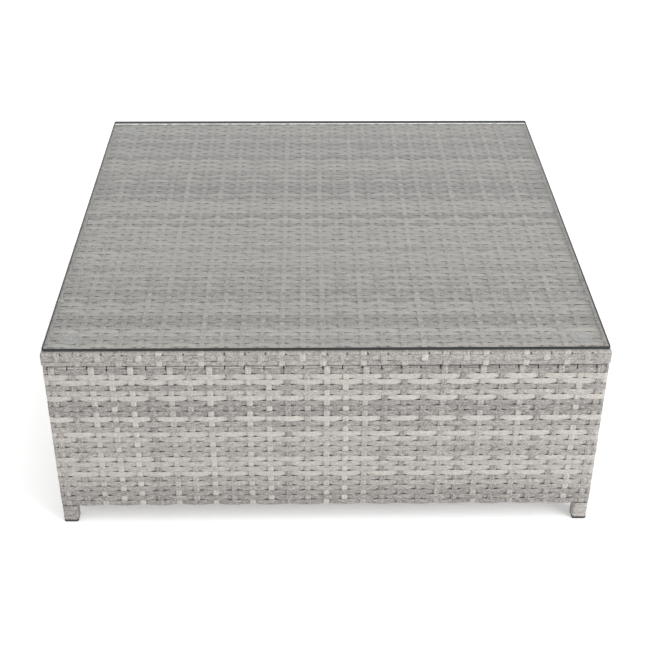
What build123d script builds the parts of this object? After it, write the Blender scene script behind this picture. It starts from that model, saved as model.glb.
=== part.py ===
from build123d import *
from math import atan2, cos, degrees, hypot, radians, sin
import os

# Square woven storage coffee table. A box of square tube, woven over on its
# four walls, stands on four wrapped feet. A woven lid with a glass sheet on
# it is hinged along the back and held open by two gas struts.
# Origin: middle of the footprint, on the floor. +X right, +Y back, +Z up.
# All lengths are in millimetres.

# ---------------------------------------------------------------- overall
lid_width = 1000.0
box_width = 997.0
table_height = 393.0
skirt_bottom = 41.0
lid_thick = 27.5
lid_gap = 3.0

# ---------------------------------------------------------------- weave
weave = 3.0                 # two crossing strands and their waves
wrap = 1.5                  # one strand wound round a tube
woven_corner = 6.0

# ---------------------------------------------------------------- glass
glass_width = 990.0
glass_thick = 6.0
glass_corner = 4.0
glass_bevel = 0.8
pad_radius = 19.0
pad_height = 1.5
pad_from_edge = 43.0
pad_rim = 2.5
pad_boss = 8.0
pad_groove = 0.9

# ---------------------------------------------------------------- tubes
leg_size = 25.0
leg_wall = 1.5
leg_corner = 4.0
rail_size = 25.0
rail_wall = 1.2
rail_corner = 1.5
bar_size = 20.0
bar_from_middle = 165.0
floor_bearing = 3.0         # how far the woven floor lies on the rails

# ---------------------------------------------------------------- feet
cap_size = 27.0
cap_flange = 5.0
cap_round = 1.8
cap_plug = 18.0
cap_wall = 2.0
cap_clearance = 0.3

# ---------------------------------------------------------------- hinges
hinge_from_middle = 300.0
knuckle_setback = 0.5       # from the lid's back face to the knuckles
hinge_length = 80.0
hinge_knuckles = 5
knuckle_gap = 0.4
knuckle_radius = 3.0
knuckle_clearance = 0.3
leaf_thick = 1.4
leaf_width = 30.0
leaf_corner = 4.0
pin_radius = 1.5
pin_clearance = 0.05
pin_head_radius = 2.4
pin_head_thick = 1.0
hinge_screws = 3
hinge_screw_pitch = 28.0

# ---------------------------------------------------------------- screws
screw_radius = 1.6
screw_hole = 1.65
screw_sink = 2.9
sink_angle = 90.0
screw_head = 2.8
screw_head_depth = 1.2
screw_length = 12.0
recess_length = 3.0
recess_width = 0.6
recess_depth = 0.7

# ---------------------------------------------------------------- gas struts
strut_plane = 452.0         # distance of each strut from the middle
box_pivot_forward = 50.0    # from the hinge axis to the pivot on the box
box_pivot_down = 120.0
lid_pivot_forward = 160.0   # from the hinge axis to the pivot on the lid
lid_pivot_up = 14.0
eye_radius = 8.0
eye_thick = 10.0
neck_radius = 4.0
neck_start = 6.0
stud_radius = 4.0
stud_clearance = 0.05
stud_flange = 5.5
stud_side_gap = 0.3
stud_end = 0.5
stud_clip_thick = 1.0
cylinder_radius = 7.5
cylinder_bore = 6.0
cylinder_start = 14.0
cylinder_end = 150.0
cylinder_cap = 6.0
guide_length = 10.0
rod_radius = 3.0
rod_clearance = 0.05
rod_neck = 16.0
piston_radius = 5.95
piston_length = 8.0
piston_start = 24.0
plate_thick = 2.5
plate_corner = 4.0
box_plate_length = 50.0
box_plate_height = 34.0
box_plate_back = 13.5       # from the hinge axis to the plate's back edge
lid_plate_length = 48.0
lid_plate_height = 20.0
plate_screw_pitch = 18.0
lid_screw_pitch = 32.0
open_pivot_gap = 0.4        # the rod's stud stops this far short of the lid's plate

# ---------------------------------------------------------------- bumpers
bumper_radius = 5.0
bumper_from_middle = 400.0
bumper_clearance = 0.2
bumper_chamfer = 0.6

# ---------------------------------------------------------------- levels
glass_bottom = table_height - glass_thick
lid_top = glass_bottom - pad_height
lid_bottom = lid_top - lid_thick
box_top = lid_bottom - lid_gap
leg_top = box_top - weave
bottom_rail_low = skirt_bottom + weave
floor_low = bottom_rail_low + rail_size
top_rail_low = leg_top - rail_size
lid_rail_low = lid_bottom + weave
lid_rail_high = lid_top - weave

# ---------------------------------------------------------------- half widths
lid_half = lid_width / 2
lid_frame_half = lid_half - weave
lid_rail_inner = lid_frame_half - rail_size
box_half = box_width / 2
frame_half = box_half - weave
leg_middle = frame_half - leg_size / 2
leg_inner = frame_half - leg_size
rail_inner = frame_half - rail_size

# ---------------------------------------------------------------- hinge axis
hinge_y = lid_half + knuckle_setback + knuckle_radius
hinge_z = box_top + lid_gap / 2
leaf_inner_y = hinge_y - leaf_width
hinge_screw_y = (leaf_inner_y + box_half) / 2

# ---------------------------------------------------------------- drilling
# Each is deep enough to come out past the far face.
leg_drill = 2 * leg_wall
rail_drill = 2 * rail_wall
plate_drill = 2 * plate_thick

# ---------------------------------------------------------------- strut line
pivot_y = hinge_y - box_pivot_forward
pivot_z = hinge_z - box_pivot_down
lid_pivot_y = hinge_y - lid_pivot_forward
lid_pivot_z = hinge_z + lid_pivot_up
strut_length = hypot(pivot_y - lid_pivot_y, lid_pivot_z - pivot_z)
strut_slope = atan2(lid_pivot_z - pivot_z, pivot_y - lid_pivot_y)

# ---------------------------------------------------------------- bracket plates
box_plate_y = hinge_y - box_plate_back - box_plate_length / 2
lid_plate_z = (lid_rail_low + lid_rail_high) / 2
box_screw_y = (leg_inner + hinge_y - box_plate_back) / 2

CORNERS = {
    "front_left": (-1, -1),
    "front_right": (1, -1),
    "back_left": (-1, 1),
    "back_right": (1, 1),
}
# Each wall: the turn about Z that carries the front wall to it.
WALLS = {"front": 0, "right": 90, "back": 180, "left": 270}
SIDES = {"left": -1, "right": 1}

os.makedirs("parts", exist_ok=True)


def save(part, name):
    """Label a finished piece and write it as one STEP file."""
    part.label = name
    export_step(part, f"parts/{name}.step")


def outward(wall):
    """Unit vector that points out of the table through a wall."""
    turn = radians(WALLS[wall])
    return Vector(sin(turn), -cos(turn), 0)


def along(wall):
    """Unit vector that runs along a wall, to the right seen from outside."""
    turn = radians(WALLS[wall])
    return Vector(cos(turn), sin(turn), 0)


def across_plane(side, distance):
    """Plane at a distance to one side. Local X is up, local Z points inward."""
    return Plane(origin=(side * distance, 0, 0), x_dir=(0, 0, 1), z_dir=(-side, 0, 0))


def across_spot(side, y, z):
    """A point of the table, in the local axes of across_plane."""
    return (z, side * y)


# ================================================================ screw places
middle_screw = (hinge_screws - 1) / 2
hinge_spots = [
    (side * hinge_from_middle + (index - middle_screw) * hinge_screw_pitch, hinge_screw_y)
    for side in SIDES.values()
    for index in range(hinge_screws)
]
box_plate_spots = [
    (box_screw_y, pivot_z - plate_screw_pitch / 2),
    (box_screw_y, pivot_z + plate_screw_pitch / 2),
]
lid_plate_spots = [
    (lid_pivot_y - lid_screw_pitch / 2, lid_plate_z),
    (lid_pivot_y + lid_screw_pitch / 2, lid_plate_z),
]


def drill_side(side, inner_face, spots):
    """Drill screw holes from an inner face through the tube wall behind it."""
    with BuildSketch(across_plane(side, inner_face)) as holes:
        with Locations(*[across_spot(side, y, z) for y, z in spots]):
            Circle(screw_hole)
    extrude(holes.sketch, amount=-leg_drill, mode=Mode.SUBTRACT)


def drill_hinge(low, high):
    """Drill the hinge screw holes through everything between two levels."""
    with BuildSketch(Plane.XY.offset(low)) as holes:
        with Locations(*hinge_spots):
            Circle(screw_hole)
    extrude(holes.sketch, amount=high - low, mode=Mode.SUBTRACT)


# ================================================================ feet and legs
for name, (sx, sy) in CORNERS.items():
    spot = (sx * leg_middle, sy * leg_middle)

    with BuildPart() as leg:
        with BuildSketch(Plane.XY.offset(cap_flange)):
            with Locations(spot):
                RectangleRounded(leg_size, leg_size, leg_corner)
                inside = leg_size - 2 * leg_wall
                RectangleRounded(inside, inside, leg_corner - leg_wall, mode=Mode.SUBTRACT)
        extrude(amount=leg_top - cap_flange)
        if sy > 0:
            drill_side(sx, leg_inner, box_plate_spots)
    save(leg.part, f"leg_{name}")

    with BuildPart() as cap:
        with BuildSketch():
            with Locations(spot):
                RectangleRounded(cap_size, cap_size, leg_corner)
        extrude(amount=cap_flange)
        fillet(cap.faces().sort_by(Axis.Z)[0].edges(), radius=cap_round)
        plug = leg_size - 2 * leg_wall - 2 * cap_clearance
        hollow = plug - 2 * cap_wall
        with BuildSketch(Plane.XY.offset(cap_flange)):
            with Locations(spot):
                RectangleRounded(plug, plug, leg_corner - leg_wall)
                Rectangle(hollow, hollow, mode=Mode.SUBTRACT)
                Rectangle(hollow, cap_wall)
                Rectangle(cap_wall, hollow)
        extrude(amount=cap_plug)
    save(cap.part, f"foot_cap_{name}")

    with BuildPart() as leg_wrap:
        with BuildSketch(Plane.XY.offset(cap_flange)):
            with Locations(spot):
                wrapped = leg_size + 2 * wrap
                RectangleRounded(wrapped, wrapped, leg_corner + wrap)
                RectangleRounded(leg_size, leg_size, leg_corner, mode=Mode.SUBTRACT)
        extrude(amount=skirt_bottom - cap_flange)
    save(leg_wrap.part, f"leg_wrap_{name}")


# ================================================================ tubes
def wall_tube(wall, outer_face, low, width, height, length):
    """Square tube that runs along a wall, its outer face at a distance."""
    middle = outward(wall) * (outer_face - width / 2)
    profile = Plane(
        origin=middle + Vector(0, 0, low + height / 2),
        x_dir=outward(wall),
        z_dir=along(wall),
    )
    with BuildSketch(profile) as section:
        RectangleRounded(width, height, rail_corner)
        Rectangle(width - 2 * rail_wall, height - 2 * rail_wall, mode=Mode.SUBTRACT)
    extrude(section.sketch, amount=length / 2, both=True)


for wall in WALLS:
    with BuildPart() as top_rail:
        wall_tube(wall, frame_half, top_rail_low, rail_size, rail_size, 2 * leg_inner)
        if wall == "back":
            drill_hinge(leg_top - rail_drill, leg_top)
    save(top_rail.part, f"top_rail_{wall}")

    with BuildPart() as bottom_rail:
        wall_tube(wall, frame_half, bottom_rail_low, rail_size, rail_size, 2 * leg_inner)
    save(bottom_rail.part, f"bottom_rail_{wall}")

    with BuildPart() as upright:
        middle = outward(wall) * (frame_half - bar_size / 2)
        with BuildSketch(Plane.XY.offset(floor_low)):
            with Locations((middle.X, middle.Y)):
                RectangleRounded(bar_size, bar_size, rail_corner)
                inside = bar_size - 2 * rail_wall
                Rectangle(inside, inside, mode=Mode.SUBTRACT)
        extrude(amount=top_rail_low - floor_low)
    save(upright.part, f"upright_{wall}")

with BuildPart() as floor_bars:
    for place in (-bar_from_middle, bar_from_middle):
        bar_level = floor_low - bar_size
        outer = place + bar_size / 2
        wall_tube("back", outer, bar_level, bar_size, bar_size, 2 * rail_inner)
save(floor_bars.part, "floor_bars")


# ================================================================ woven box
with BuildPart() as floor_weave:
    floor_half = rail_inner + floor_bearing
    with BuildSketch(Plane.XY.offset(floor_low)):
        Rectangle(2 * floor_half, 2 * floor_half)
        with GridLocations(2 * leg_middle, 2 * leg_middle, 2, 2):
            Rectangle(leg_size, leg_size, mode=Mode.SUBTRACT)
    extrude(amount=weave)
save(floor_weave.part, "floor_weave")

with BuildPart() as skirt:
    with BuildSketch(Plane.XY.offset(skirt_bottom)):
        RectangleRounded(box_width, box_width, woven_corner)
        inside = 2 * frame_half
        RectangleRounded(inside, inside, woven_corner - weave, mode=Mode.SUBTRACT)
    extrude(amount=box_top - skirt_bottom)
    with BuildSketch(Plane.XY.offset(leg_top)):
        RectangleRounded(inside, inside, woven_corner - weave)
        Rectangle(2 * leg_inner, 2 * leg_inner, mode=Mode.SUBTRACT)
    extrude(amount=weave)
    with BuildSketch(Plane.XY.offset(skirt_bottom)):
        Rectangle(inside, inside)
        Rectangle(2 * rail_inner, 2 * rail_inner, mode=Mode.SUBTRACT)
        with GridLocations(2 * leg_middle, 2 * leg_middle, 2, 2):
            Rectangle(leg_size, leg_size, mode=Mode.SUBTRACT)
    extrude(amount=weave)
    drill_hinge(leg_top, box_top)


def wall_quarter(ring, wall):
    """The part of a ring on one wall, mitred at both corners."""
    add(ring)
    for direction in (outward(wall) - along(wall), outward(wall) + along(wall)):
        split(bisect_by=Plane(origin=(0, 0, 0), z_dir=direction), keep=Keep.TOP)


for wall in WALLS:
    with BuildPart() as weave_wall:
        wall_quarter(skirt.part, wall)
    save(weave_wall.part, f"weave_{wall}")


# ================================================================ lid
with BuildPart() as band:
    with BuildSketch(Plane.XY.offset(lid_bottom)):
        RectangleRounded(lid_width, lid_width, woven_corner)
        inside = 2 * lid_frame_half
        RectangleRounded(inside, inside, woven_corner - weave, mode=Mode.SUBTRACT)
    extrude(amount=lid_thick)
    with BuildSketch(Plane.XY.offset(lid_bottom)):
        RectangleRounded(inside, inside, woven_corner - weave)
        Rectangle(2 * lid_rail_inner, 2 * lid_rail_inner, mode=Mode.SUBTRACT)
    extrude(amount=weave)
    drill_hinge(lid_bottom, lid_rail_low)

for wall in WALLS:
    with BuildPart() as lid_band:
        wall_quarter(band.part, wall)
    save(lid_band.part, f"lid_band_{wall}")

    rail_height = lid_rail_high - lid_rail_low
    if wall in ("front", "back"):
        rail_length = 2 * (lid_frame_half - woven_corner + weave)
    else:
        rail_length = 2 * lid_rail_inner
    with BuildPart() as lid_rail:
        wall_tube(wall, lid_frame_half, lid_rail_low, rail_size, rail_height, rail_length)
        if wall == "back":
            drill_hinge(lid_rail_low, lid_rail_low + rail_drill)
        if wall in SIDES:
            drill_side(SIDES[wall], lid_rail_inner, lid_plate_spots)
    save(lid_rail.part, f"lid_rail_{wall}")

with BuildPart() as lid_crossbars:
    for place in (-bar_from_middle, bar_from_middle):
        bar_level = lid_rail_high - bar_size
        outer = place + bar_size / 2
        wall_tube("right", outer, bar_level, bar_size, bar_size, 2 * lid_rail_inner)
save(lid_crossbars.part, "lid_crossbars")

with BuildPart() as lid_weave:
    with BuildSketch(Plane.XY.offset(lid_rail_high)):
        RectangleRounded(2 * lid_frame_half, 2 * lid_frame_half, woven_corner - weave)
    extrude(amount=weave)
save(lid_weave.part, "lid_weave_top")

with BuildPart() as glass_pads:
    pad_spacing = glass_width - 2 * pad_from_edge
    with BuildSketch(Plane.XY.offset(lid_top)):
        with GridLocations(pad_spacing, pad_spacing, 2, 2):
            Circle(pad_radius)
    extrude(amount=pad_height)
    with BuildSketch(Plane.XY.offset(glass_bottom - pad_groove)):
        with GridLocations(pad_spacing, pad_spacing, 2, 2):
            Circle(pad_radius - pad_rim)
            Circle(pad_boss, mode=Mode.SUBTRACT)
    extrude(amount=pad_groove, mode=Mode.SUBTRACT)
save(glass_pads.part, "glass_pads")

with BuildPart() as glass:
    with BuildSketch(Plane.XY.offset(glass_bottom)):
        RectangleRounded(glass_width, glass_width, glass_corner)
    extrude(amount=glass_thick)
    rims = glass.faces().filter_by(Axis.Z).edges()
    chamfer(rims, length=glass_bevel)
save(glass.part, "glass_top")


# ================================================================ hinges
knuckle_pitch = hinge_length / hinge_knuckles


def knuckle_middle(side, index):
    """X of the middle of one knuckle."""
    first = side * hinge_from_middle - hinge_length / 2 + knuckle_pitch / 2
    return first + index * knuckle_pitch


def barrel_plane(side):
    """Plane across the hinge axis at the low-X end of one hinge."""
    return Plane.YZ.offset(side * hinge_from_middle - hinge_length / 2)


def hinge_leaf(side, low, other_knuckles):
    """Leaf plate with its knuckles, cut away for the other leaf's knuckles."""
    with BuildSketch(Plane.XY.offset(low)) as outline:
        with Locations((side * hinge_from_middle, hinge_y - leaf_width / 2)):
            Rectangle(hinge_length, leaf_width)
        fillet(outline.vertices().group_by(Axis.Y)[0], radius=leaf_corner)
    extrude(outline.sketch, amount=leaf_thick)
    with BuildSketch(barrel_plane(side)) as barrel:
        with Locations((hinge_y, hinge_z)):
            Circle(knuckle_radius)
    extrude(barrel.sketch, amount=hinge_length)
    slot = 2 * (knuckle_radius + knuckle_clearance)
    middles = [knuckle_middle(side, index) for index in other_knuckles]
    with Locations(*[(x, hinge_y, hinge_z) for x in middles]):
        Box(knuckle_pitch + knuckle_gap, slot, slot, mode=Mode.SUBTRACT)
    with BuildSketch(barrel_plane(side)) as bore:
        with Locations((hinge_y, hinge_z)):
            Circle(pin_radius + pin_clearance)
    extrude(bore.sketch, amount=hinge_length, mode=Mode.SUBTRACT)


def sink_holes(places):
    """Countersunk holes through a plate, seen from the head side."""
    with Locations(*places):
        CounterSinkHole(screw_hole, screw_sink, plate_drill, sink_angle)


def screw_places(points, direction):
    """Planes at the screw heads, facing the way the heads face."""
    return [Plane(origin=point, z_dir=direction) for point in points]


box_hinge_heads = []
lid_hinge_heads = []
for name, side in SIDES.items():
    spots = [spot for spot in hinge_spots if spot[0] * side > 0]
    box_heads = screw_places([(x, y, box_top + leaf_thick) for x, y in spots], (0, 0, 1))
    lid_heads = screw_places([(x, y, lid_bottom - leaf_thick) for x, y in spots], (0, 0, -1))
    box_hinge_heads += box_heads
    lid_hinge_heads += lid_heads

    with BuildPart() as box_leaf:
        hinge_leaf(side, box_top, range(1, hinge_knuckles, 2))
        sink_holes(box_heads)
    save(box_leaf.part, f"hinge_{name}_box_leaf")

    with BuildPart() as lid_leaf:
        hinge_leaf(side, lid_bottom - leaf_thick, range(0, hinge_knuckles, 2))
        sink_holes(lid_heads)
    save(lid_leaf.part, f"hinge_{name}_lid_leaf")

with BuildPart() as hinge_pins:
    for side in SIDES.values():
        with BuildSketch(barrel_plane(side)):
            with Locations((hinge_y, hinge_z)):
                Circle(pin_radius)
        extrude(amount=hinge_length)
        for end, direction in ((0, -1), (hinge_length, 1)):
            with BuildSketch(barrel_plane(side).offset(end)):
                with Locations((hinge_y, hinge_z)):
                    Circle(pin_head_radius)
            extrude(amount=direction * pin_head_thick)
save(hinge_pins.part, "hinge_pins")


# ================================================================ gas struts
def strut_frame(side):
    """Plane of one strut: origin on the box pivot, local X towards the lid pivot."""
    return Plane(
        origin=(side * strut_plane, pivot_y, pivot_z),
        x_dir=(0, -cos(strut_slope), sin(strut_slope)),
        z_dir=(1, 0, 0),
    )


def turned(frame, outline):
    """Turn an outline of (along, radius) points about the strut's line."""
    with BuildSketch(frame) as profile:
        with BuildLine():
            Polyline(*outline, close=True)
        make_face()
    revolve(profile.sketch, axis=Axis(frame.origin, frame.x_dir))


def eye(frame, place):
    """Ring across the strut's line that takes a stud."""
    with BuildSketch(frame) as ring:
        with Locations((place, 0)):
            Circle(eye_radius)
            Circle(stud_radius + stud_clearance, mode=Mode.SUBTRACT)
    extrude(ring.sketch, amount=eye_thick / 2, both=True)


def stud(side, y, z, root):
    """Shouldered stud that stands inward from a distance, with a clip on its end."""
    shoulder = strut_plane + eye_thick / 2 + stud_side_gap
    clip = strut_plane - eye_thick / 2 - stud_end
    steps = (
        (root, shoulder, stud_flange),
        (shoulder, clip, stud_radius),
        (clip, clip - stud_clip_thick, stud_flange),
    )
    for start, end, radius in steps:
        with BuildSketch(across_plane(side, start)) as disc:
            with Locations(across_spot(side, y, z)):
                Circle(radius)
        extrude(disc.sketch, amount=start - end)


def plate(side, outer_face, y, z, length, height):
    """Upright bracket plate against the inner face of a tube."""
    with BuildSketch(across_plane(side, outer_face)) as outline:
        with Locations(across_spot(side, y, z)):
            RectangleRounded(height, length, plate_corner)
    extrude(outline.sketch, amount=plate_thick)


box_plate_heads = []
lid_plate_heads = []
for name, side in SIDES.items():
    frame = strut_frame(side)
    box_face = side * (leg_inner - plate_thick)
    lid_face = side * (lid_rail_inner - plate_thick)
    box_heads = screw_places([(box_face, y, z) for y, z in box_plate_spots], (-side, 0, 0))
    lid_heads = screw_places([(lid_face, y, z) for y, z in lid_plate_spots], (-side, 0, 0))
    box_plate_heads += box_heads
    lid_plate_heads += lid_heads

    with BuildPart() as box_bracket:
        plate(side, leg_inner, box_plate_y, pivot_z, box_plate_length, box_plate_height)
        sink_holes(box_heads)
        stud(side, pivot_y, pivot_z, leg_inner - plate_thick)
    save(box_bracket.part, f"strut_{name}_box_bracket")

    with BuildPart() as lid_bracket:
        plate(side, lid_rail_inner, lid_pivot_y, lid_plate_z, lid_plate_length, lid_plate_height)
        sink_holes(lid_heads)
    save(lid_bracket.part, f"strut_{name}_lid_bracket")

    with BuildPart() as cylinder:
        turned(
            frame,
            [
                (neck_start, 0),
                (neck_start, neck_radius),
                (cylinder_start, neck_radius),
                (cylinder_start, cylinder_radius),
                (cylinder_end, cylinder_radius),
                (cylinder_end, rod_radius + rod_clearance),
                (cylinder_end - guide_length, rod_radius + rod_clearance),
                (cylinder_end - guide_length, cylinder_bore),
                (cylinder_start + cylinder_cap, cylinder_bore),
                (cylinder_start + cylinder_cap, 0),
            ],
        )
        eye(frame, 0)
    save(cylinder.part, f"strut_{name}_cylinder")

    with BuildPart() as rod:
        turned(
            frame,
            [
                (piston_start, 0),
                (piston_start, piston_radius),
                (piston_start + piston_length, piston_radius),
                (piston_start + piston_length, rod_radius),
                (strut_length - rod_neck, rod_radius),
                (strut_length - rod_neck, neck_radius),
                (strut_length - neck_start, neck_radius),
                (strut_length - neck_start, 0),
            ],
        )
        eye(frame, strut_length)
    save(rod.part, f"strut_{name}_rod")

    with BuildPart() as rod_stud:
        stud(side, lid_pivot_y, lid_pivot_z, lid_rail_inner - plate_thick - open_pivot_gap)
    save(rod_stud.part, f"strut_{name}_rod_stud")


# ================================================================ screws
def screw():
    """Countersunk cross-head screw, its head level with the XY plane."""
    with BuildPart() as one:
        with BuildSketch(Plane.XZ):
            with BuildLine():
                Polyline(
                    (0, 0),
                    (screw_head, 0),
                    (screw_radius, -screw_head_depth),
                    (screw_radius, -screw_length),
                    (0, -screw_length),
                    close=True,
                )
            make_face()
        revolve(axis=Axis.Z)
        Box(recess_length, recess_width, 2 * recess_depth, mode=Mode.SUBTRACT)
        Box(recess_width, recess_length, 2 * recess_depth, mode=Mode.SUBTRACT)
    return one.part


one_screw = screw()
for name, heads in (
    ("box_screws", box_hinge_heads + box_plate_heads),
    ("lid_screws", lid_hinge_heads + lid_plate_heads),
):
    with BuildPart() as screws:
        with Locations(*heads):
            add(one_screw)
    save(screws.part, name)


# ================================================================ bumpers
with BuildPart() as bumpers:
    bumper_row = (leg_inner + box_half) / 2
    with BuildSketch(Plane.XY.offset(box_top)):
        with GridLocations(2 * bumper_from_middle, 2 * bumper_row, 2, 2):
            Circle(bumper_radius)
    extrude(amount=lid_gap - bumper_clearance)
    upper = bumpers.faces().filter_by(Axis.Z).group_by(Axis.Z)[-1]
    chamfer(upper.edges(), length=bumper_chamfer)
save(bumpers.part, "lid_bumpers")
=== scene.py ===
"""Looks of the woven storage coffee table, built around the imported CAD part.

Every strand is modelled, with the glass sheet, and all nodes get their finishes."""

import math

import bpy
import numpy as np
from mathutils import Matrix, Vector


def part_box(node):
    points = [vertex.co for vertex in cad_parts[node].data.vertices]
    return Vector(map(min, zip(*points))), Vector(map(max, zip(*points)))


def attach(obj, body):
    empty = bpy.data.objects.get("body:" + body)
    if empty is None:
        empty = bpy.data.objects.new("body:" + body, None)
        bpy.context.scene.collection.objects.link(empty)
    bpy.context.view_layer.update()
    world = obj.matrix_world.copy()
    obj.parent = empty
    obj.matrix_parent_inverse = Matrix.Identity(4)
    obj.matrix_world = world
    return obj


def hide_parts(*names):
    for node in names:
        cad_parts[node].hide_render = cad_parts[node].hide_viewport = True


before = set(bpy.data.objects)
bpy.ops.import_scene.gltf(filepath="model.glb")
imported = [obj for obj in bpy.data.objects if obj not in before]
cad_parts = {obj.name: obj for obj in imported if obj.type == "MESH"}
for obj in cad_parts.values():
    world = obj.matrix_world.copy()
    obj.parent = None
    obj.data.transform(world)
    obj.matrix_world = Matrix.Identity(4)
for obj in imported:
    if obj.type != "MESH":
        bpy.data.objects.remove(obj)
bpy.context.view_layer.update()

MM = 0.001
UP = np.array([0.0, 0.0, 1.0])
rng = np.random.default_rng(41)


def spot(node):
    """A CAD node's lowest and highest corners, in millimetres."""
    lo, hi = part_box(node)
    return np.array(lo) / MM, np.array(hi) / MM


# ---------------------------------------------------------------- sizes taken from the CAD part, in millimetres

sheet = 3.0  # a woven wall's thickness, from face to face
strand = 1.2  # a strand's own thickness
layer = 0.9  # how far a strand's middle lies off the wall's middle where it crosses another
mid = sheet / 2

skirt_lo, skirt_hi = spot("weave_front")
box_out = -skirt_lo[1] - mid  # a wall's mid-surface, from the table's centre
seam = 1.0  # the strands on each side of the seam under the lid stand this much nearer to each other
box_low, box_top = skirt_lo[2] + mid, skirt_hi[2] - mid + seam
rail_inner = -spot("bottom_rail_front")[1][1]
leg_inner = -spot("leg_front_left")[1][0]
lip_low = rail_inner + 2  # the lower edge of the wall is turned in under the bottom rail
lip_top = leg_inner - mid  # and the upper one over the top rail and down inside it
lip_top_end = box_top - 25

band_lo, band_hi = spot("lid_band_front")
lid_out = -band_lo[1] - mid
lid_low, lid_top = band_lo[2] + mid - seam, spot("lid_weave_top")[1][2] - mid
lid_lip = -spot("lid_rail_front")[1][1] + 2

floor_lo, floor_hi = spot("floor_weave")
floor_mid, floor_half = (floor_lo[2] + floor_hi[2]) / 2, floor_hi[0] - 2

pitch = 34.42  # between upright strands of the box
lid_pitch = 35.64  # and of the lid
weft_half = 5.7  # half the width of a strand that goes round or across
warp_half = 5.6  # and of an upright one
bend = 5.0  # radius of a strand's turn round a corner
inner_bend = 6.2  # and of one that is turned in over or under an edge
upright_flat, corner_flat = 3.4, 2.4  # an upright stays level this far on each side of a crossing
row_count = 27
lip_strip = 19  # how far a profile runs in over the lid's top

# ---------------------------------------------------------------- tones

SHADES = {"D": 0.06, "d": 0.27, "m": 0.48, "l": 0.66, "L": 0.84, "V": 1.0}


def tones(letters, spread=0.05):
    """Tones for the strands written as letters, D dark to V very light, each a little off."""
    return [float(np.clip(SHADES[c] + rng.normal(0, spread), 0, 1)) for c in letters]


def random_tones(count):
    return tones("".join(rng.choice(list("DDddmllLLLV"), count)))


# ---------------------------------------------------------------- strands

# a strand's section: half-widths across, thicknesses in depth
SECTION = np.array([
    (-1, -0.1), (-0.93, 0.33), (-0.45, 0.5), (0.45, 0.5), (0.93, 0.33), (1, -0.1), (0.9, -0.5), (-0.9, -0.5)])
CURLED = np.array([
    (-1, -0.1), (-0.93, 0.33), (-0.6, 0.46), (-0.2, 0.5), (0.2, 0.5), (0.6, 0.46), (0.93, 0.33), (1, -0.1),
    (0.9, -0.5), (0.3, -0.5), (-0.3, -0.5), (-0.9, -0.5)])
PLAIN = np.array([(-1, 0.0), (-0.8, 0.45), (0.8, 0.45), (1, 0.0), (0.85, -0.5), (-0.85, -0.5)])
LANE = 1500.0  # length of strand in one lane of the unwrap
FILL = 0.985  # of a lane's width that is used
PAD = 0.04  # of a lane's height left clear at each edge
APART = 6.0  # between two strands in a lane
FACE_SHARE = 0.74  # of a lane's height for the strand's outer face
CAP_UV = 0.0005


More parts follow.
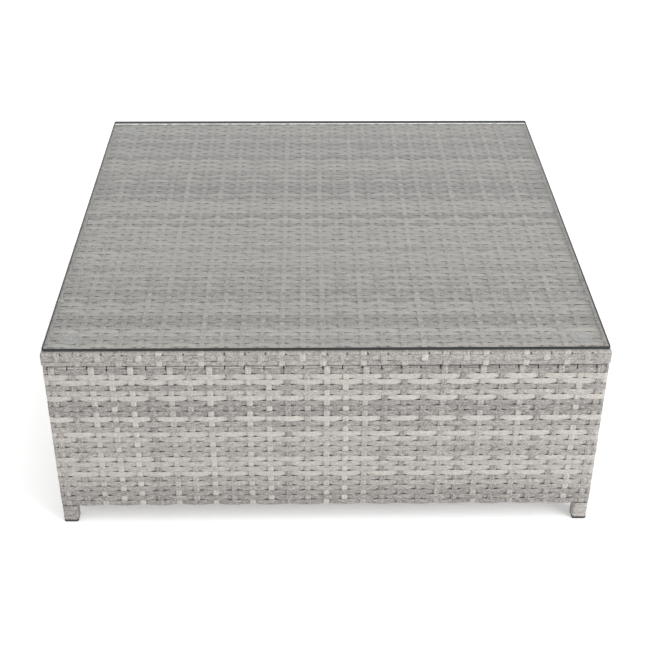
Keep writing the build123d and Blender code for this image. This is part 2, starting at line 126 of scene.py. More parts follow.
class Weave:
    """One piece made of many strands. It keeps each strand's rings until build() makes the mesh."""

    def __init__(self, name, section=SECTION):
        self.name, self.section, self.strands = name, section, []

    def add(self, centre, normal, along, tone, half=weft_half, shift=0.0, depth=0.0):
        """centre and normal: one point and one direction for each ring. along: places on the strand, in mm."""
        n = len(centre)
        tangent = np.gradient(centre, axis=0)
        across = np.cross(normal, tangent)
        across /= np.linalg.norm(across, axis=1)[:, None]
        a, d = self.section[:, 0], self.section[:, 1]
        half, shift, depth = (np.broadcast_to(v, n)[:, None] for v in (half, shift, depth))
        wide, deep = shift + half * a, depth + strand * d
        points = centre[:, None] + across[:, None] * wide[..., None] + normal[:, None] * deep[..., None]
        self.rings(points, along, tone)

    def rings(self, points, along, tone, turned=False):
        """turned: the strand's streaks run across it, as on one that is whipped round an edge."""
        self.strands.append((points, np.asarray(along, float), tone, turned))

    def build(self, body, material, *nodes):
        m = len(self.section)
        sides = np.diff(np.vstack([self.section, self.section[:1]]) * (weft_half, strand), axis=0)
        round_it = np.concatenate([[0], np.cumsum(np.hypot(*sides.T))])
        face_end = round_it[np.argmax(self.section[:, 0])]
        v_at = np.where(round_it <= face_end, round_it / face_end * FACE_SHARE,
                        FACE_SHARE + (round_it - face_end) / (round_it[-1] - face_end) * (1 - FACE_SHARE))
        lengths = [along[-1] - along[0] for _, along, _, _ in self.strands]
        starts = np.concatenate([[0], np.cumsum(np.array(lengths) + APART)])
        lanes = math.ceil(starts[-1] / LANE)  # the strands lie end to end in lanes across the unwrap
        verts, grain, tone_all, loops, sizes, uvs = [], [], [], [], [], []
        base = 0
        j = np.arange(m)
        for number, (points, along, tone, turned) in enumerate(self.strands):
            n = len(points)
            verts.append(points.reshape(-1, 3) * MM)
            place = np.empty((n, m, 3))
            place[..., int(turned)] = along[:, None] * MM
            place[..., 1 - int(turned)] = round_it[:-1] * MM
            place[..., 2] = number + 1
            grain.append(place.reshape(-1, 3))
            tone_all.append(np.repeat(np.broadcast_to(tone, n), m))
            i = np.arange(n - 1)[:, None]
            k = (j + 1) % m
            quad = np.stack([i * m + j, (i + 1) * m + j, (i + 1) * m + k, i * m + k], -1) + base
            loops.append(quad.ravel())
            sizes.append(np.full((n - 1) * m, 4))
            reach = starts[number] + along - along[0]
            lane = np.floor(reach[:-1] / LANE)
            left, right = ((r - lane * LANE) / LANE * FILL for r in (reach[:-1], reach[1:]))
            low, high = ((lane[:, None] + PAD + v_at[j + side] * (1 - 2 * PAD)) / lanes for side in (0, 1))
            left, right = (np.broadcast_to(u[:, None], low.shape) for u in (left, right))
            uvs.append(np.stack([left, low, right, low, right, high, left, high], -1).reshape(-1, 2))
            for end, order, u in ((0, j, left), (-1, j[::-1], right)):
                loops.append(base + (n + end) % n * m + order)
                sizes.append([m])
                uvs.append(self.section[order] * CAP_UV + (u[end, 0], (lane[end] + 0.5) / lanes))
            base += n * m
        ob = mesh(self.name, np.vstack(verts), np.concatenate(loops), np.concatenate(sizes), np.vstack(uvs))
        me = ob.data
        tone_values = np.concatenate(tone_all).astype(np.float32)
        me.attributes.new("tone", "FLOAT", "POINT").data.foreach_set("value", tone_values)
        grain_values = np.vstack(grain).astype(np.float32).ravel()
        me.attributes.new("grain", "FLOAT_VECTOR", "POINT").data.foreach_set("vector", grain_values)
        me.materials.append(material)
        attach(ob, body)
        if nodes:
            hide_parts(*nodes)
        return ob


def mesh(name, verts, loops, sizes, uvs=None):
    """A smooth mesh object from corner indices and polygon sizes."""
    me = bpy.data.meshes.new(name)
    me.vertices.add(len(verts))
    me.vertices.foreach_set("co", np.asarray(verts, np.float32).ravel())
    me.loops.add(len(loops))
    me.loops.foreach_set("vertex_index", np.asarray(loops, np.int32))
    me.polygons.add(len(sizes))
    me.polygons.foreach_set("loop_start", np.concatenate([[0], np.cumsum(sizes)[:-1]]).astype(np.int32))
    if uvs is not None:
        me.uv_layers.new(name="OFBake").data.foreach_set("uv", np.asarray(uvs, np.float32).ravel())
    me.update(calc_edges=True)
    me.shade_smooth()
    ob = bpy.data.objects.new(name, me)
    bpy.context.scene.collection.objects.link(ob)
    return ob


def wave(x, knots, levels, flat):
    """levels held within flat of each knot, and eased between one knot and the next."""
    i = np.clip(np.searchsorted(knots, x, side="right") - 1, 0, len(knots) - 2)
    gap = knots[i + 1] - knots[i] - 2 * flat
    t = np.clip((x - knots[i] - flat) / gap, 0, 1)
    return levels[i] + (levels[i + 1] - levels[i]) * t * t * (3 - 2 * t)


def wander(x, size, lengths=(310, 127)):
    """A slow drift of about size, seeded for each strand."""
    out = 0.0
    for share, length in zip((0.65, 0.35), lengths):
        out = out + share * np.sin(x / length * 2 * math.pi * rng.uniform(0.8, 1.25) + rng.uniform(0, 2 * math.pi))
    return out * size


def stations(knots, flat, between, extra=()):
    """Where rings go: at each knot's middle and edges, evenly between, and at the extra places."""
    x = [knots, knots[:-1] + flat, knots[1:] - flat]
    for t in np.arange(1, between + 1) / (between + 1):
        x.append(knots[:-1] + flat + (knots[1:] - knots[:-1] - 2 * flat) * t)
    x = np.unique(np.round(np.concatenate([*x, np.asarray(extra, float)]), 3))
    return x[(x >= knots[0]) & (x <= knots[-1])]


# ---------------------------------------------------------------- loops round the table, and profiles up its walls

OUT = np.array([(0, -1, 0), (1, 0, 0), (0, 1, 0), (-1, 0, 0)], float)  # front, right, back, left
ALONG = np.array([(1, 0, 0), (0, 1, 0), (-1, 0, 0), (0, -1, 0)], float)
ORDER = (3, 0, 1, 2)  # a loop starts and ends at the back left corner


def loop_points(x, half, radius, inset=0.0):
    """Points and outward directions at x along a square loop with round corners.

    inset: how far inside the loop the points lie."""
    lap = 8 * half
    x = x % lap if np.max(x) > lap + 1e-6 else x
    turn = np.minimum((x / (2 * half)).astype(int), 3)
    side = np.array(ORDER)[turn]
    s = x - turn * 2 * half - half
    angle = np.clip((np.abs(s) - (half - radius)) / radius, 0, 1) * math.pi / 4
    if np.ndim(inset) == 2:
        s, angle, side = s[:, None], angle[:, None], side[:, None]
    tight = np.maximum(radius - inset, 1.0)
    reach = half - inset - tight
    t, h = ALONG[side], OUT[side]
    sin, cos = np.sin(angle)[..., None], np.cos(angle)[..., None]
    sign = np.sign(s)[..., None]
    straight = np.where(angle > 0, np.sign(s) * reach, np.clip(s, -reach, reach))[..., None]
    tight, reach = (np.broadcast_to(v, straight.shape[:-1])[..., None] for v in (tight, reach))
    points = t * (straight + sign * tight * sin) + h * (reach + tight * cos)
    out = t * (sign * sin) + h * cos
    return points, out


class Profile:
    """The mid-surface's outline in a plane across a wall: outward distance and height, with round corners."""

    def __init__(self, corners, radii, steps=7):
        corners = [np.array(c, float) for c in corners]
        path = [corners[0]]
        for a, b, c, r in zip(corners, corners[1:], corners[2:], radii):
            into, away = (b - a) / np.linalg.norm(b - a), (c - b) / np.linalg.norm(c - b)
            start = b - into * r
            for f in np.linspace(0, math.pi / 2, steps):
                path.append(start + into * r * math.sin(f) + away * r * (1 - math.cos(f)))
        path.append(corners[-1])
        self.path = np.array(path)
        self.s = np.concatenate([[0], np.cumsum(np.linalg.norm(np.diff(self.path, axis=0), axis=1))])
        step = np.gradient(self.path, self.s, axis=0)
        self.angle = np.unwrap(np.arctan2(step[:, 1], step[:, 0]))
        self.length = self.s[-1]

    def at(self, s):
        """Points and the outline's outward directions at lengths s."""
        p = np.stack([np.interp(s, self.s, self.path[:, c]) for c in (0, 1)], -1)
        a = np.interp(s, self.s, self.angle)
        return p, np.stack([np.sin(a), -np.cos(a)], -1)

    def near(self, out, high):
        """The length at which the outline comes nearest a point."""
        s = np.linspace(0, self.length, int(self.length * 10))
        p = self.at(s)[0]
        return float(s[np.argmin(np.hypot(p[:, 0] - out, p[:, 1] - high))])


class AcrossY(Profile):
    """The lid's outline from front to back, whose outward side is to the left of its path."""

    def at(self, s):
        p, n = super().at(s)
        return p, -n


box_profile = Profile(
    [(lip_low, box_low), (box_out, box_low), (box_out, box_top), (lip_top, box_top), (lip_top, lip_top_end)],
    (3, 3.5, 2.5))


def pinch(x, places, strength, flat=6.0, reach=16.0):
    """Each place's strength within flat of it, falling to nothing at reach."""
    i = np.clip(np.searchsorted(places, x), 1, len(places) - 1)
    i = np.where(x - places[i - 1] < places[i] - x, i - 1, i)
    t = np.clip((np.abs(x - places[i]) - flat) / (reach - flat), 0, 1)
    return strength[i] * (1 - t * t * (3 - 2 * t))


def weft_reach(x, knots, level, up, low, slits=1.0):
    """Reach of a weft above and below its middle: less where it passes under an upright, and a little more over one."""
    under, over = knots[level < -0.5], knots[level > 0.5]
    thin = pinch(x, under, rng.uniform(0.5, 1.15, len(under)))
    full = pinch(x, over, rng.uniform(0.0, 1.0, len(over)), 4.0, 15.0)
    return up * (1 - 0.03 * slits * thin), low * (1 - 0.21 * slits * thin + 0.05 * full)


up_half, low_half = 5.8, 6.0  # an ordinary row's reach above and below its middle


def loop_weft(weave, half, high, normal, radius, crossings, numbers, parity, tone, up=up_half, low=low_half,
              outline=None, rise=layer, gap=0.0, bite=0.0, beside=1, slits=1.0, turned=False):
    """A strand all the way round.

    crossings and numbers: where the uprights are, and which they are. It lies at a height, facing normal as
    (outward, up), or it is bent to an outline, and high is its place on that. tone: a number, or a function of the
    place along it. gap: it is open that far beside each upright. bite: how much of its lower half is missing there,
    or of its upper half when bite is negative. beside: 1 for an upright's right side, -1 for its left."""
    corners = np.arange(5) * 2 * half
    place = np.concatenate([crossings, corners])
    level = np.where((numbers + parity) % 2 == 0, 1.0, -1.0)
    level = np.concatenate([level + rng.normal(0, 0.05, len(level)), rng.uniform(-0.4, 0.25, 5)])
    level[-1] = level[-5]
    sort = np.argsort(place)
    knots, level = place[sort], level[sort]
    bends = np.concatenate([c + np.linspace(-radius, radius, 7) for c in corners])
    notches = np.sort(crossings) + beside * (warp_half + 1.3)
    extra = np.concatenate([bends, *([notches + d for d in (-2.0, -0.8, 0.8, 2.0)] if bite else []),
                            *([notches + d * gap for d in (-0.5, 0.5)] if gap else [])])
    flat = 5.0
    x = stations(knots, flat, 4, extra)
    depth = rise * wave(x, knots, level, flat) + wander(x, 0.08)
    up, low = weft_reach(x, knots, level, up, low, slits)
    if bite:
        cut = 1 - pinch(x, notches, abs(bite) * rng.uniform(0.25, 1.0, len(notches)), 0.8, 2.0)
        up, low = (up, low * cut) if bite > 0 else (up * cut, low)
    drift = wander(x, 0.3)
    ends = np.concatenate([[-1], notches, [1e9]]) if gap else [-1, 1e9]
    for a, b in zip(ends, ends[1:]):
        part = (x > a + gap * 0.49) & (x < b - gap * 0.49)
        here = tone(x[part]) if callable(tone) else tone
        if outline is None:
            points, out = loop_points(x[part], half, radius)
            points = points + UP * (high + drift[part])[:, None]
            n = out * normal[0] + UP * normal[1]
            weave.add(points, n, x[part], here, ((up + low) / 2)[part], ((up - low) / 2)[part], depth[part])
            continue
        wide, deep = weave.section.T
        p, n2 = outline.at(high + drift[part, None] + wide * np.where(wide > 0, up[part, None], low[part, None]))
        p = p + n2 * (depth[part, None] + strand * deep)[..., None]
        points, _ = loop_points(x[part], half, radius, half - p[..., 0])
        weave.rings(points + UP * p[..., 1:], x[part], here, turned)


# ---------------------------------------------------------------- the finishes

def add_node(nt, kind, inputs=None, **settings):
    node = nt.nodes.new(kind)
    for key, value in settings.items():
        setattr(node, key, value)
    for key, value in (inputs or {}).items():
        if isinstance(value, bpy.types.NodeSocket):
            nt.links.new(value, node.inputs[key])
        else:
            node.inputs[key].default_value = value
    return node


def material(name):
    mat = bpy.data.materials.new(name)
    mat.use_nodes = True
    return mat, mat.node_tree, mat.node_tree.nodes["Principled BSDF"]


def maths(nt, operation, a, b=0.0, c=0.0, clamp=False):
    return add_node(nt, "ShaderNodeMath", {0: a, 1: b, 2: c}, operation=operation, use_clamp=clamp).outputs[0]


def mixed(nt, factor, a, b, kind="MIX"):
    node = nt.nodes.new("ShaderNodeMix")
    node.data_type, node.blend_type = "RGBA", kind
    for key, value in ((0, factor), (6, a), (7, b)):
        if isinstance(value, bpy.types.NodeSocket):
            nt.links.new(value, node.inputs[key])
        else:
            node.inputs[key].default_value = value
    return node.outputs[2]


def noise(nt, vector, detail=2.0, rough=0.5, bent=0.0):
    settings = {"Vector": vector, "Scale": 1.0, "Detail": detail, "Roughness": rough, "Distortion": bent}
    return add_node(nt, "ShaderNodeTexNoise", settings).outputs["Fac"]


def ramp(nt, value, low, high):
    settings = {"Value": value, "From Min": low, "From Max": high}
    return add_node(nt, "ShaderNodeMapRange", settings, interpolation_type="SMOOTHSTEP").outputs[0]


def stretched(nt, vector, factors):
    return add_node(nt, "ShaderNodeVectorMath", {0: vector, 1: tuple(factors)}, operation="MULTIPLY").outputs[0]


def strand_material():
    mat, nt, shader = material("woven_strand")
    grain = add_node(nt, "ShaderNodeAttribute", attribute_name="grain").outputs["Vector"]
    tone = add_node(nt, "ShaderNodeAttribute", attribute_name="tone").outputs["Fac"]

    def scaled(along, across, strands=7.3):
        return stretched(nt, grain, (along, across, strands))

    patch = noise(nt, scaled(9, 60), 2.0)
    streak = noise(nt, scaled(125, 400), 4.0, 0.7, 0.7)
    fleck = noise(nt, scaled(330, 900, 11.7), 2.0, 0.6, 0.4)
    light = maths(nt, "ADD", tone, maths(nt, "MULTIPLY", maths(nt, "SUBTRACT", patch, 0.5), 0.55), clamp=True)
    # light strands are even, and dark ones are streaked
    depth = maths(nt, "MULTIPLY_ADD", light, -0.55, 1.08)
    streaks = maths(nt, "MULTIPLY", maths(nt, "SUBTRACT", ramp(nt, streak, 0.34, 0.66), 0.5), depth)
    flecks = maths(nt, "MULTIPLY", maths(nt, "SUBTRACT", ramp(nt, fleck, 0.33, 0.67), 0.5),
                   maths(nt, "MULTIPLY_ADD", depth, 0.9, 0.2))
    value = maths(nt, "ADD", light, maths(nt, "ADD", streaks, flecks))
    value = maths(nt, "MULTIPLY_ADD", value, 0.62, 0.2, clamp=True)
    colours = add_node(nt, "ShaderNodeValToRGB", {"Fac": value})
    stops = colours.color_ramp
    stops.elements[0].position, stops.elements[0].color = 0.0, (0.165, 0.152, 0.144, 1)
    stops.elements[1].position, stops.elements[1].color = 1.0, (0.545, 0.518, 0.472, 1)
    for at, colour in ((0.3, (0.285, 0.267, 0.254, 1)), (0.6, (0.38, 0.360, 0.337, 1)),
                       (0.82, (0.455, 0.432, 0.398, 1))):
        stops.elements.new(at).color = colour
    nt.links.new(colours.outputs["Color"], shader.inputs["Base Color"])
    nt.links.new(maths(nt, "MULTIPLY_ADD", streak, -0.16, 0.6), shader.inputs["Roughness"])
    shader.inputs["Specular IOR Level"].default_value = 0.42
    height = maths(nt, "ADD", streak, maths(nt, "MULTIPLY", fleck, 0.4))
    bump = add_node(nt, "ShaderNodeBump", {"Height": height, "Strength": 0.5, "Distance": 0.0004})
    nt.links.new(bump.outputs[0], shader.inputs["Normal"])
    return mat


def speckled(name, dark, light, scale, roughness, metallic=0.0, stretch=(1, 1, 1), bump=0.0, specular=0.5):
    """Paint, plastic, rubber or metal with a fine procedural speckle or brushing in the part's own space."""
    mat, nt, shader = material(name)
    place = stretched(nt, add_node(nt, "ShaderNodeTexCoord").outputs["Object"], (scale * s for s in stretch))
    fine = noise(nt, place, 3.0, 0.6)
    nt.links.new(mixed(nt, ramp(nt, fine, 0.3, 0.7), (*dark, 1), (*light, 1)), shader.inputs["Base Color"])
    shader.inputs["Roughness"].default_value = roughness
    shader.inputs["Metallic"].default_value = metallic
    shader.inputs["Specular IOR Level"].default_value = specular
    if bump:
        node = add_node(nt, "ShaderNodeBump", {"Height": fine, "Strength": 0.4, "Distance": bump})
        nt.links.new(node.outputs[0], shader.inputs["Normal"])
    return mat


def pane_material(name, colour):
    """Smoked sheet glass: a tinted clear shader under a mirror that grows towards grazing angles."""
    mat, nt, shader = material(name)
    nt.nodes.remove(shader)
    cloud = noise(nt, stretched(nt, add_node(nt, "ShaderNodeTexCoord").outputs["Object"], (3, 3, 3)), 2.0)
    tint = mixed(nt, cloud, (*[c * 0.985 for c in colour], 1), (*[min(1, c * 1.015) for c in colour], 1))
    clear = add_node(nt, "ShaderNodeBsdfTransparent", {"Color": tint})
    gloss = add_node(nt, "ShaderNodeBsdfGlossy", {"Color": (1, 1, 1, 1), "Roughness": 0.02})
    facing = add_node(nt, "ShaderNodeLayerWeight", {"Blend": 0.5}).outputs["Facing"]
    share = maths(nt, "MULTIPLY_ADD", maths(nt, "POWER", facing, 5.0), 0.95, 0.04)
    mix = add_node(nt, "ShaderNodeMixShader", {0: share, 1: clear.outputs[0], 2: gloss.outputs[0]})
    nt.links.new(mix.outputs[0], nt.nodes["Material Output"].inputs["Surface"])
    return mat


strand_mat = strand_material()
paint_mat = speckled("frame_paint", (0.085, 0.085, 0.087), (0.125, 0.125, 0.126), 900, 0.5)
foot_mat = speckled("foot_plastic", (0.02, 0.02, 0.021), (0.035, 0.035, 0.036), 700, 0.55, bump=0.00015)
steel_mat = speckled("hinge_steel", (0.50, 0.50, 0.50), (0.62, 0.62, 0.61), 300, 0.34, 1.0, (0.15, 1, 1))
screw_mat = speckled("screw_steel", (0.55, 0.55, 0.54), (0.68, 0.68, 0.67), 900, 0.3, 1.0)
bracket_mat = speckled("bracket_steel", (0.42, 0.42, 0.42), (0.52, 0.52, 0.52), 420, 0.4, 1.0)
cylinder_mat = speckled("strut_black", (0.012, 0.012, 0.013), (0.022, 0.022, 0.023), 350, 0.28)
chrome_mat = speckled("strut_chrome", (0.66, 0.67, 0.68), (0.76, 0.77, 0.78), 500, 0.12, 1.0)
rubber_mat = speckled("bumper_rubber", (0.018, 0.018, 0.018), (0.03, 0.03, 0.03), 1200, 0.75)
pad_mat = speckled("clear_pad", (0.62, 0.62, 0.60), (0.72, 0.72, 0.70), 600, 0.3)
pad_mat.node_tree.nodes["Principled BSDF"].inputs["Alpha"].default_value = 0.3
face_mat = pane_material("glass_face", (0.938, 0.943, 0.944))
# the edge faces are near black: the smoked glass's own dark tint seen edge-on, plus painted shade for the dark inside
# of the edge and the shadow in the gap under the sheet
edge_tint_and_shade_mat = speckled(
    "glass_edge_tint_and_shade", (0.012, 0.0135, 0.013), (0.024, 0.026, 0.025), 60, 0.3, stretch=(0.3, 0.3, 6), specular=0.3)

FINISHES = (
    (("leg_", "top_rail", "bottom_rail", "upright", "floor_bars", "lid_rail", "lid_crossbars"), paint_mat),
    (("foot_cap",), foot_mat), (("hinge",), steel_mat), (("box_screws", "lid_screws"), screw_mat),
    (("lid_bumpers",), rubber_mat), (("glass_pads",), pad_mat), (("glass_top",), face_mat),
)
for name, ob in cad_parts.items():
    if name.startswith("strut"):
        finish = bracket_mat if "bracket" in name else cylinder_mat if "cylinder" in name else chrome_mat
    else:
        finish = next((f for starts, f in FINISHES if name.startswith(starts)), strand_mat)
    ob.data.materials.clear()
    ob.data.materials.append(finish)

# ---------------------------------------------------------------- the box's woven walls

box_count = 29
box_warps = (np.arange(box_count) - (box_count - 1) / 2) * pitch
inner_warps = box_warps[1:-1]  # without the two next to the corners, which lie in front of the legs
inner_count = len(inner_warps)
box_knots = np.concatenate([turn * 2 * box_out + box_out + box_warps for turn in range(4)])
box_numbers = np.concatenate([box_count * side + np.arange(box_count) - 1 for side in ORDER])
inner_numbers = np.concatenate([box_count * side + np.arange(inner_count) for side in ORDER])

row_pitch = 11.47
row_edge = box_top - 14.8  # between the first row and the second
first_half = 6.3
row_high = {n: row_edge + first_half if n == 1 else row_edge - row_pitch * (n - 1.5) for n in range(1, row_count + 1)}
row_tones = dict(zip(row_high, tones("DLLDlLDDDVddLlmddLllLdmdDDD")))
edge_place = box_profile.near(box_out, row_edge + 2 * first_half) + weft_half  # the strand over the upper edge


def scale_knots(half):
    """The crossings along a smaller or larger loop, at the same places on each wall."""
    return np.concatenate([turn * 2 * half + half + inner_warps for turn in range(4)])


weaves = [Weave(f"skirt_rows_{i + 1}") for i in range(3)]
for n in row_high:
    target = weaves[(n - 1) * len(weaves) // row_count]
    reach = {"slits": 0.2} if n == row_count else {}
    if n == 1:
        reach = {"up": first_half, "low": first_half + 0.1, "rise": 0.6, "bite": -0.75, "beside": -1}
    loop_weft(target, box_out, row_high[n], (1, 0), bend, box_knots, box_numbers, n + 1, row_tones[n], **reach)
rim = Weave("rim_rows", CURLED)
edge_tones = tones("Vd")  # it is light as far as the middle of the front wall, and darker from there on
loop_weft(rim, box_out, edge_place, None, bend, box_knots, box_numbers, 2,
          lambda x: np.interp(x, (3.05 * box_out, 3.3 * box_out), edge_tones), weft_half, weft_half,
          outline=box_profile, gap=2.0, rise=0.5, beside=-1, turned=True)
# one row lies over the top rail, two go down inside it, and one is turned in under the bottom rail
rim_rows = {0: (box_out - 17.5, box_top, (0, 1)), -1: (lip_top, box_top - 7.2, (-1, 0)),
            -2: (lip_top, box_top - 18.7, (-1, 0)), row_count + 1: (box_out - 12, box_low, (0, -1))}
for n, (half, high, normal) in rim_rows.items():
    loop_weft(rim, half, high, normal, inner_bend, scale_knots(half), inner_numbers, n + 1, random_tones(1)[0])
for weave, nodes in zip(weaves, (("weave_front",), ("weave_right", "weave_left"), ("weave_back",))):
    weave.build("base", strand_mat, *nodes)
rim.build("base", strand_mat)

# every upright follows the wall's outline, from under the bottom rail to inside the top one
crossing = {n: box_profile.near(box_out, row_high[n]) for n in row_high}
crossing.update({n: box_profile.near(half, high) for n, (half, high, _) in rim_rows.items()})
rows = sorted(crossing, reverse=True)
corner_profile = Profile([(box_out, box_low - 1), (box_out, box_top), (box_out - 14, box_top)], (3.5,))


def upright(weave, profile, places, levels, side, u, tone, dive=0.0, flat=upright_flat):
    """An upright strand: places and levels say where it crosses rows and on which side of them.

    dive: how much deeper its upper end goes."""
    knots = np.array([0.0, *places, profile.length])
    level = np.array([levels[0] * 0.2, *levels, levels[-1] * 0.2 - dive])
    x = stations(knots, flat, 2, profile.s)
    p, n2 = profile.at(x)
    t, h = ALONG[side], OUT[side]
    lateral = u + wander(x, 0.5, (240, 90))
    points = h * p[:, :1] + UP * p[:, 1:] + t * lateral[:, None]
    normal = h * n2[:, :1] + UP * n2[:, 1:]
    normal /= np.linalg.norm(normal, axis=1)[:, None]
    weave.add(points, normal, x, tone, warp_half + wander(x, 0.15), 0.0, layer * wave(x, knots, level, flat))


uprights = [Weave("skirt_uprights_front_right"), Weave("skirt_uprights_back_left")]
side_tones = [tones("mdLLVDlmVdLLDmLVmDDdmDmDmDdLd")] + [random_tones(box_count) for _ in range(3)]
for side in range(4):
    for i, u in enumerate(box_warps):
        k = box_count * side + i - 1
        inner = 0 < i < box_count - 1
        profile = box_profile if inner else corner_profile
        crossed = rows if inner else rows[1:row_count + 1]
        below = profile.near(box_out, row_high[row_count]) - crossing[row_count]
        levels = [-1.0 if (k + n + 1) % 2 == 0 else 1.0 for n in crossed]
        places = [crossing[n] + below for n in crossed]
        at = crossed.index(1) + 1  # the edge strand goes the same way as row 1
        places.insert(at, edge_place + below)
        levels.insert(at, levels[at - 1])
        upright(uprights[side // 2], profile, places, levels, side, u + rng.normal(0, 0.35), side_tones[side][i],
                flat=upright_flat if inner else corner_flat)
for weave in uprights:
    weave.build("base", strand_mat)

# ---------------------------------------------------------------- the lid's woven top and edges

lid_count = 27
first_x = -470.3  # the lid's uprights don't stand evenly about its middle
lid_x = first_x + lid_pitch * np.arange(lid_count)
lid_y = (np.arange(lid_count) - (lid_count - 1) / 2) * lid_pitch
lid_side_places = {0: lid_x, 1: lid_y, 2: -lid_x[::-1], 3: lid_y}


def lid_knots(half):
    return np.concatenate([turn * 2 * half + half + lid_side_places[side] for turn, side in enumerate(ORDER)])


side_profile = Profile(
    [(lid_lip, lid_low), (lid_out, lid_low), (lid_out, lid_top), (lid_out - lip_strip, lid_top)], (2, 4.5))
lid_numbers = np.concatenate([lid_count * side + np.arange(lid_count) for side in ORDER])
band = Weave("lid_edge_rows", CURLED)
band_mid, band_half = lid_low + 15.6, 6.3  # the row that lies flat on the edge
low_place = side_profile.near(lid_out, band_mid - band_half) - weft_half  # one strand is turned under it
high_place = side_profile.near(lid_out, band_mid + band_half) + weft_half  # and one over it
under_out = lid_out - 11.5
edge_knots = lid_knots(lid_out)
dimmed, less_dimmed = 0.12, 0.06  # the edge's strands are this much darker than a middle tone
loop_weft(band, lid_out, low_place, None, bend, edge_knots, lid_numbers, 0, tones("m")[0] - dimmed,
          outline=side_profile, rise=0.4, slits=0)
loop_weft(band, lid_out, band_mid, (1, 0), bend, edge_knots, lid_numbers, 1, tones("m")[0] - dimmed,
          band_half, band_half, rise=0.4, slits=0)
loop_weft(band, lid_out, high_place, None, bend, edge_knots, lid_numbers, 2, tones("m")[0] - less_dimmed,
          weft_half, weft_half, outline=side_profile, bite=1.0, rise=0.4, slits=0, turned=True)
loop_weft(band, under_out, lid_low, (0, -1), inner_bend, lid_knots(under_out), lid_numbers, -1, tones("d")[0])
band.build("lid", strand_mat, "lid_band_front", "lid_band_right", "lid_band_back", "lid_band_left")

top_rows = 85
top_reach = lid_out - 9.4
top_pitch = 2 * top_reach / top_rows
top_y = -top_reach + top_pitch * (np.arange(top_rows) + 0.5)
# the rows differ less than the walls' do, and are made lighter towards the front: painted light standing in for the
# extra light that falls on the front of the top
top_tones_with_painted_light = 0.2 + 0.68 * np.array(random_tones(top_rows)) + np.linspace(0.1, -0.08, top_rows)
warp_tones = tones("mmlmLLlLlmlLVLmLmmVmlLmLLLm")
top = [Weave("top_rows_front"), Weave("top_rows_back")]
top_flat = 4.2
top_end = lid_out - 3.5
end_level = -1.6  # a row's ends dive under the edge strand
knots = np.array([-top_end, *lid_x, top_end])
for i, (y, tone) in enumerate(zip(top_y, top_tones_with_painted_light)):
    q = i + 3
    level = np.where((np.arange(lid_count) + q) % 2 == 0, 1.0, -1.0)
    level = np.array([end_level, *(level + rng.normal(0, 0.05, lid_count)), end_level])
    x = stations(knots, top_flat, 4)
    up, low = weft_reach(x, knots, level, up_half + 0.1, low_half + 0.1, 2.2)
    points = np.stack([x, np.full_like(x, y) + wander(x, 0.3), np.full_like(x, lid_top)], -1)
    target = top[int(i > top_rows // 2)]
    target.add(points, np.tile(UP, (len(x), 1)), x, tone, (up + low) / 2, (up - low) / 2,
               layer * wave(x, knots, level, top_flat))
top[0].build("lid", strand_mat, "lid_weave_top")
top[1].build("lid", strand_mat)

lid_profile = AcrossY(
    [(-lid_lip, lid_low), (-lid_out, lid_low), (-lid_out, lid_top), (lid_out, lid_top), (lid_out, lid_low),
     (lid_lip, lid_low)], (2, 4.5, 4.5, 2))
warps = [Weave("lid_uprights_left"), Weave("lid_uprights_right")]
side_places = np.array([
    side_profile.near(under_out, lid_low), low_place, side_profile.near(lid_out, band_mid), high_place])
edge_places = side_places + (lid_profile.near(-(lid_out - lip_strip), lid_top) - side_profile.length)
under_glass = lid_out - 9
for i, x0 in enumerate(lid_x):
    place = [*edge_places, *(lid_profile.near(y, lid_top) for y in top_y), *(lid_profile.length - edge_places[::-1])]
    level = [-1.0 if (i + q) % 2 == 0 else 1.0 for q in range(-1, top_rows + 2 * len(edge_places) - 1)]
    knots = np.array([0.0, *place, lid_profile.length])
    level = np.array([level[0] * 0.2, *level, level[-1] * 0.2])
    x = stations(knots, upright_flat, 2, lid_profile.s)
    p, n2 = lid_profile.at(x)
    lateral = x0 + rng.normal(0, 0.8) + wander(x, 0.5, (240, 90))
    points = np.stack([lateral, p[:, 0], p[:, 1]], -1)
    normal = np.stack([np.zeros(len(x)), n2[:, 0], n2[:, 1]], -1)
    normal /= np.linalg.norm(normal, axis=1)[:, None]
    weave = warps[int(i > lid_count // 2)]
    # the uprights differ less under the glass
    tone = np.where(np.abs(p[:, 0]) > under_glass, warp_tones[i], 0.3 + 0.5 * warp_tones[i])
    weave.add(points, normal, x, tone, warp_half + wander(x, 0.15), 0.0, layer * wave(x, knots, level, upright_flat))
for side, weave in ((1, warps[1]), (3, warps[0])):
    for i, (u, tone) in enumerate(zip(lid_y, random_tones(lid_count))):
        k = lid_count * side + i
        levels = [-1.0 if (k + q) % 2 == 0 else 1.0 for q in range(-1, 3)]
        upright(weave, side_profile, side_places, levels, side, u + rng.normal(0, 0.8), tone, dive=2.4)
for weave in warps:
    weave.build("lid", strand_mat)

# ---------------------------------------------------------------- the floor of the box

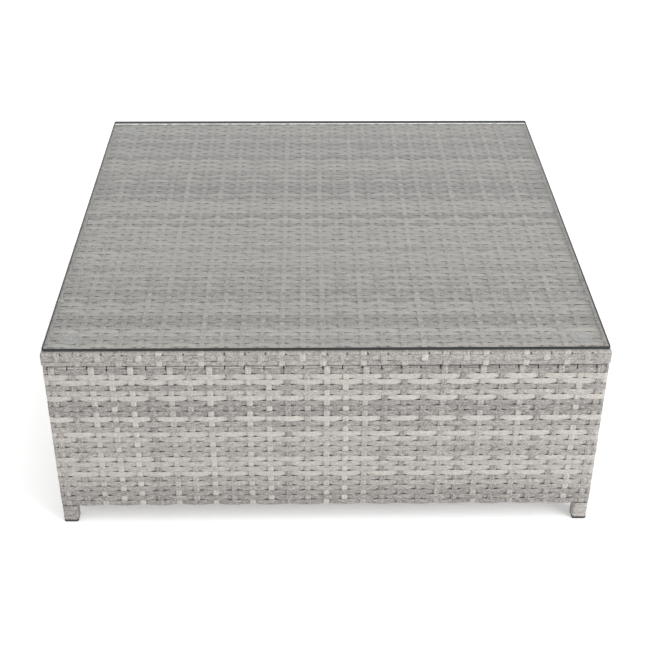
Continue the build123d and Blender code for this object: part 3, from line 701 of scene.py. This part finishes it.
floor_rows, floor_pitch = 80, 11.8
floor_y = (np.arange(floor_rows) - (floor_rows - 1) / 2) * floor_pitch
floor_parts = [Weave("floor_rows", PLAIN), Weave("floor_uprights", PLAIN)]
notch_x = floor_half - 9  # the first and last rows stop short of the legs
row_flat, warp_flat = 5.0, 2.0
floor_row_half = 5.8
for i, (y, tone) in enumerate(zip(floor_y, random_tones(floor_rows))):
    end = notch_x if i in (0, floor_rows - 1) else floor_half
    level = np.where((np.arange(inner_count) + i) % 2 == 0, 1.0, -1.0)
    knots, level = np.array([-end, *inner_warps, end]), np.array([0.0, *level, 0.0])
    x = stations(knots, row_flat, 1)
    points = np.stack([x, np.full_like(x, y), np.full_like(x, floor_mid)], -1)
    floor_parts[0].add(points, np.tile(UP, (len(x), 1)), x, tone, floor_row_half, 0.0,
                       layer * wave(x, knots, level, row_flat))
for i, (u, tone) in enumerate(zip(inner_warps, random_tones(inner_count))):
    level = np.where((i + np.arange(floor_rows)) % 2 == 0, -1.0, 1.0)
    knots, level = np.array([-floor_half, *floor_y, floor_half]), np.array([0.0, *level, 0.0])
    y = stations(knots, warp_flat, 1)
    points = np.stack([np.full_like(y, u), y, np.full_like(y, floor_mid)], -1)
    floor_parts[1].add(points, np.tile(UP, (len(y), 1)), y, tone, warp_half, 0.0,
                       layer * wave(y, knots, level, warp_flat))
floor_parts[0].build("base", strand_mat, "floor_weave")
floor_parts[1].build("base", strand_mat)

# ---------------------------------------------------------------- the strand wound round each foot

wrap_turns, wrap_first, wrap_pitch = 2.9, 5.9, row_pitch * 0.97
step_from, step_over = 0.78, 0.2  # the shares of a lap after which a turn steps up, and over which it does
wrap_half, wrap_drift = 5.6, (60, 25)
for name, letter in (("front_left", "d"), ("front_right", "l"), ("back_left", "m"), ("back_right", "l")):
    lo, hi = spot("leg_wrap_" + name)
    centre = (lo + hi) / 2
    half = (hi[0] - lo[0]) / 2 - strand / 2 - 0.1
    lap = 8 * half
    length = lap * wrap_turns
    x = np.unique(np.concatenate([
        np.linspace(0, length, int(length / 5)),
        *[c * 2 * half + np.linspace(-bend, bend, 6) for c in range(1, int(wrap_turns * 4) + 1)]]))
    x = x[x <= length]
    turn = np.floor(x / lap)
    rising = np.clip((x - turn * lap - step_from * lap) / (step_over * lap), 0, 1)
    points, out = loop_points(x % lap, half, bend)
    high = lo[2] + wrap_first + wrap_pitch * (turn + rising)
    points = points + np.array([centre[0], centre[1], 0.0]) + UP * high[:, None]
    wrap = Weave("foot_wrap_" + name)
    wrap.add(points, out, x, tones(letter)[0], wrap_half + wander(x, 0.1, wrap_drift), 0.0, wander(x, 0.1, wrap_drift))
    wrap.build("base", strand_mat, "leg_wrap_" + name)

# ---------------------------------------------------------------- the glass sheet and its pads


def plate(name, lo, hi, radius, bevel, steps=8):
    """A sheet with round corners and a small bevel, whose edge faces take the second material."""
    rings = []
    for inset, z in ((bevel, lo[2]), (0, lo[2] + bevel), (0, hi[2] - bevel), (bevel, hi[2])):
        ring = []
        for cx, cy, turn in ((1, -1, -90), (1, 1, 0), (-1, 1, 90), (-1, -1, 180)):
            for f in np.linspace(turn, turn + 90, steps):
                a = math.radians(f)
                x = cx * ((hi[0] - lo[0]) / 2 - radius) + (radius - inset) * math.cos(a)
                y = cy * ((hi[1] - lo[1]) / 2 - radius) + (radius - inset) * math.sin(a)
                ring.append((x, y, z))
        rings.append(ring)
    m = len(rings[0])
    verts = np.array(rings).reshape(-1, 3) * MM
    loops, sizes, edge = [], [], []
    for r in range(3):
        for j in range(m):
            k = (j + 1) % m
            loops += [r * m + j, r * m + k, (r + 1) * m + k, (r + 1) * m + j]
            sizes.append(4)
            edge.append(1)
    loops += list(range(m))[::-1] + [3 * m + j for j in range(m)]
    sizes += [m, m]
    edge += [0, 0]
    ob = mesh(name, verts, loops, sizes)
    ob.data.polygons.foreach_set("material_index", edge)
    ob.data.shade_flat()
    return ob


lo, hi = spot("glass_top")
glass = plate("glass_sheet", lo, hi, 4.0, 0.8)
for finish in (face_mat, edge_tint_and_shade_mat):
    glass.data.materials.append(finish)
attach(glass, "lid")
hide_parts("glass_top")

# ---------------------------------------------------------------- floor, light and camera

stage_mat, nt, shader = material("pale_floor")
shader.inputs["Base Color"].default_value = (0.9, 0.9, 0.9, 1)
shader.inputs["Roughness"].default_value = 0.9
shader.inputs["Specular IOR Level"].default_value = 0.1
shader.inputs["Emission Color"].default_value = (1, 1, 1, 1)
shader.inputs["Emission Strength"].default_value = 0.28
bpy.ops.mesh.primitive_plane_add(size=60, location=(0, 0, 0))
ground = bpy.context.object
ground.name = "studio_floor"
ground.data.materials.append(stage_mat)

world = bpy.data.worlds.new("studio")
world.use_nodes = True
world.node_tree.nodes["Background"].inputs["Color"].default_value = (1, 1, 1, 1)
world.node_tree.nodes["Background"].inputs["Strength"].default_value = 0.7
scene = bpy.context.scene
scene.world = world


def lamp(name, place, aim, size, power):
    data = bpy.data.lights.new(name, "AREA")
    data.size, data.energy = size, power
    ob = bpy.data.objects.new(name, data)
    ob.location = place
    ob.rotation_mode = "QUATERNION"
    ob.rotation_quaternion = (Vector(aim) - Vector(place)).to_track_quat("-Z", "Y")
    scene.collection.objects.link(ob)
    return ob


lamp("soft_top", (0.0, -0.4, 3.6), (0, 0, 0), 3.4, 55)
lamp("soft_front", (3.2, -2.6, 2.3), (0, 0, 0.2), 2.2, 104)

pitch_angle, roll, yaw = math.radians(32.45), math.radians(0.245), math.radians(-0.912)
right = np.array([1.0, 0.0, 0.0])
ahead = np.array([0.0, math.cos(pitch_angle), -math.sin(pitch_angle)])
above = np.array([0.0, math.sin(pitch_angle), math.cos(pitch_angle)])
right, above = right * math.cos(roll) + above * math.sin(roll), above * math.cos(roll) - right * math.sin(roll)
columns = Matrix(np.stack([right, above, -ahead], 1).tolist())
data = bpy.data.cameras.new("camera")
data.lens, data.sensor_width = 68.59, 36.0
camera = bpy.data.objects.new("camera", data)
camera_place = (-0.0336, -2.2806, 1.5775)
camera.matrix_world = Matrix.Translation(camera_place) @ (Matrix.Rotation(yaw, 3, "Z") @ columns).to_4x4()
scene.collection.objects.link(camera)
scene.camera = camera
scene.view_settings.view_transform = "Standard"
